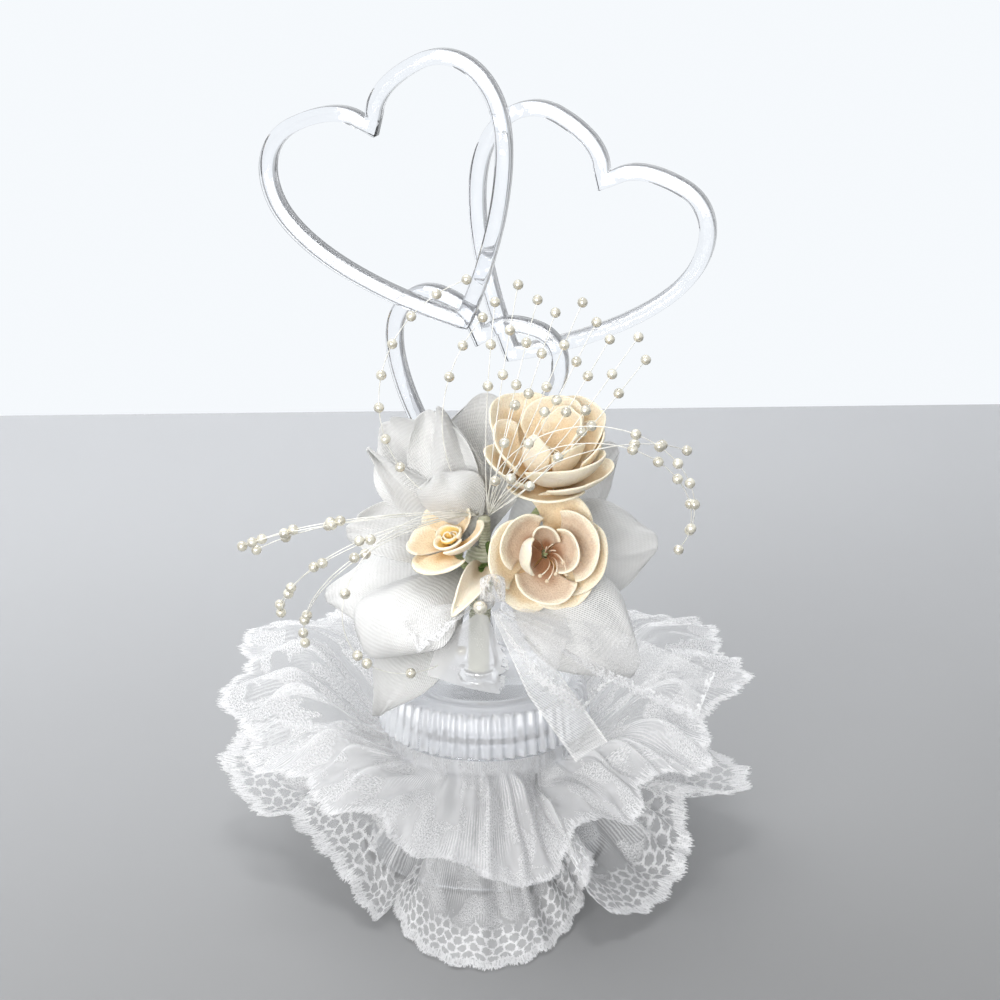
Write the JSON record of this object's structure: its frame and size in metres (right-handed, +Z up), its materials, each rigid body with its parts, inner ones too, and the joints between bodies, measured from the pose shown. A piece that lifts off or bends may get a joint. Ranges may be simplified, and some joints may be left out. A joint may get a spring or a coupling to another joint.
{
  "type": "wedding cake topper",
  "caption": "Free-standing wedding cake topper: clear plastic base with open hearts, paper rose and satin petal bouquet with pearl sprays and a lace bow, and a gathered lace ruffle.",
  "frame": {"origin": "centre of the base's footprint, on the surface that it stands on", "axes": "+Z up; -Y towards the bouquet's front; the hearts lie in planes parallel to XZ"},
  "size_m": [0.148, 0.1484, 0.2192],
  "materials": {
    "clear_plastic": "clear, moulded, polished",
    "glue_clear": "clear, set glue",
    "paper_cream": "matt, crimped cream paper",
    "paper_blush": "matt, crimped blush paper",
    "paper_gold": "matt, crimped golden paper",
    "wrap_green": "crepe stem wrap and leaves",
    "wrap_white": "white stem wrap",
    "satin_white": "satin with a soft sheen",
    "lace_white": "net lace with stitched scallops",
    "pearl": "pearlised, on clear filament"
  },
  "bodies": {
    "root": {"base_foot": "clear_plastic", "base_cap": "clear_plastic", "heart_stand": "clear_plastic", "heart_left": "clear_plastic", "heart_right": "clear_plastic", "glue_dab": "glue_clear", "rose_a_outer": "paper_cream", "rose_a_middle": "paper_cream", "rose_a_inner": "paper_cream", "rose_b_outer": "paper_cream", "rose_c_outer": "paper_cream", "ivory_petal": "paper_cream", "rose_b_middle": "paper_blush", "rose_b_inner": "paper_blush", "rose_c_inner": "paper_gold", "rose_a_stem": "wrap_green", "rose_b_stem": "wrap_green", "rose_c_stem": "wrap_green", "leaf_1": "wrap_green", "leaf_2": "wrap_green", "flower_hub": "wrap_white", "stem_wrap": "wrap_white", "bow_wire": "wrap_white", "spray_binding": "wrap_white", "satin_petal_front_left": "satin_white", "satin_petal_low_left": "satin_white", "satin_petal_left": "satin_white", "satin_petal_side": "satin_white", "satin_petal_up_left": "satin_white", "satin_petal_top": "satin_white", "satin_petal_behind": "satin_white", "satin_petal_right": "satin_white", "satin_petal_far_right": "satin_white", "satin_petal_low_right": "satin_white", "satin_petal_back": "satin_white", "ribbon_tail": "satin_white", "lace_upper": "lace_white", "lace_lower": "lace_white", "bow_knot": "lace_white", "bow_tail_right": "lace_white", "bow_tail_far_right": "lace_white", "bow_tail_front": "lace_white", "bow_loop_left": "lace_white", "bow_pearl": "pearl", "spray_right": "pearl", "spray_left": "pearl"}
  },
  "joints": []
}
